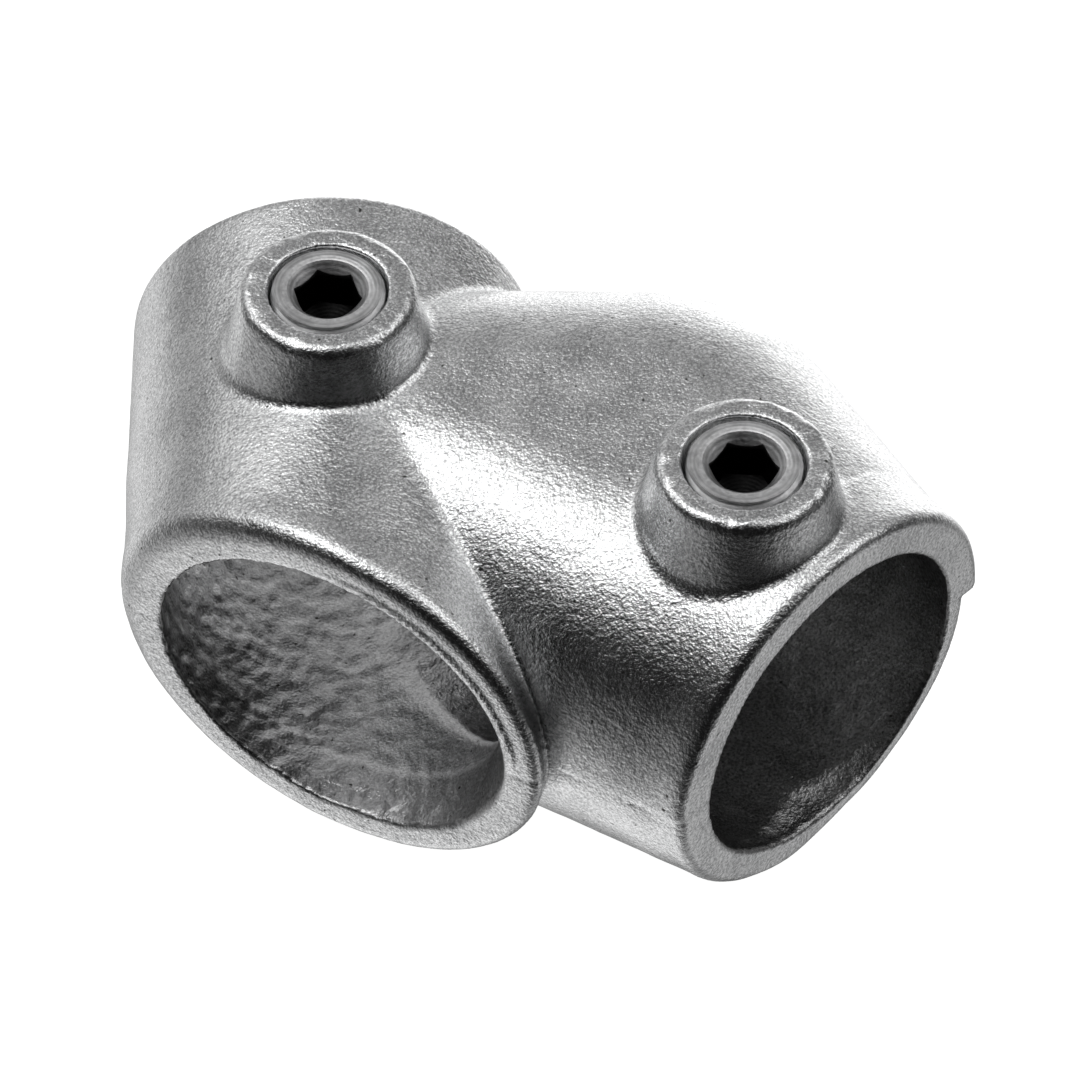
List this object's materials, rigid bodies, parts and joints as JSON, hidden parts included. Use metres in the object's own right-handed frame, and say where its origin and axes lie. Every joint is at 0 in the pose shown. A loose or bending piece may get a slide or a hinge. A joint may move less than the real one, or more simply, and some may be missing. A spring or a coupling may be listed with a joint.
{
  "type": "adjustable angle tube clamp tee",
  "caption": "Cast galvanised tube clamp tee: a slant-mouthed through ring joined to a fan-shaped socket for a branch tube at 30 to 60 degrees, each gripped by a recessed hex set screw.",
  "frame": {"origin": "centre of the through bore at the ring's square end face", "axes": "+Y along the through bore, out of the square end; +Z along the set screws, out of their bosses; the branch socket leans towards +X and -Y"},
  "size_m": [0.1253, 0.0961, 0.0709],
  "materials": {
    "galvanised_casting": "hot-dip galvanised malleable iron: bright, pebbled zinc skin over a rough casting",
    "screw_steel": "machined steel with turning rings, dull grey"
  },
  "bodies": {
    "casting": {"cast_body": "galvanised_casting"},
    "ring_screw": {"ring_set_screw": "screw_steel"},
    "branch_screw": {"branch_set_screw": "screw_steel"}
  },
  "joints": [
    {"name": "ring_screw_travel", "type": "slide", "parent": "casting", "child": "ring_screw", "axis": [0, 0, 1], "range_m": [-0.002, 0.009]},
    {"name": "branch_screw_travel", "type": "slide", "parent": "casting", "child": "branch_screw", "axis": [0, 0, 1], "range_m": [-0.002, 0.009]}
  ]
}
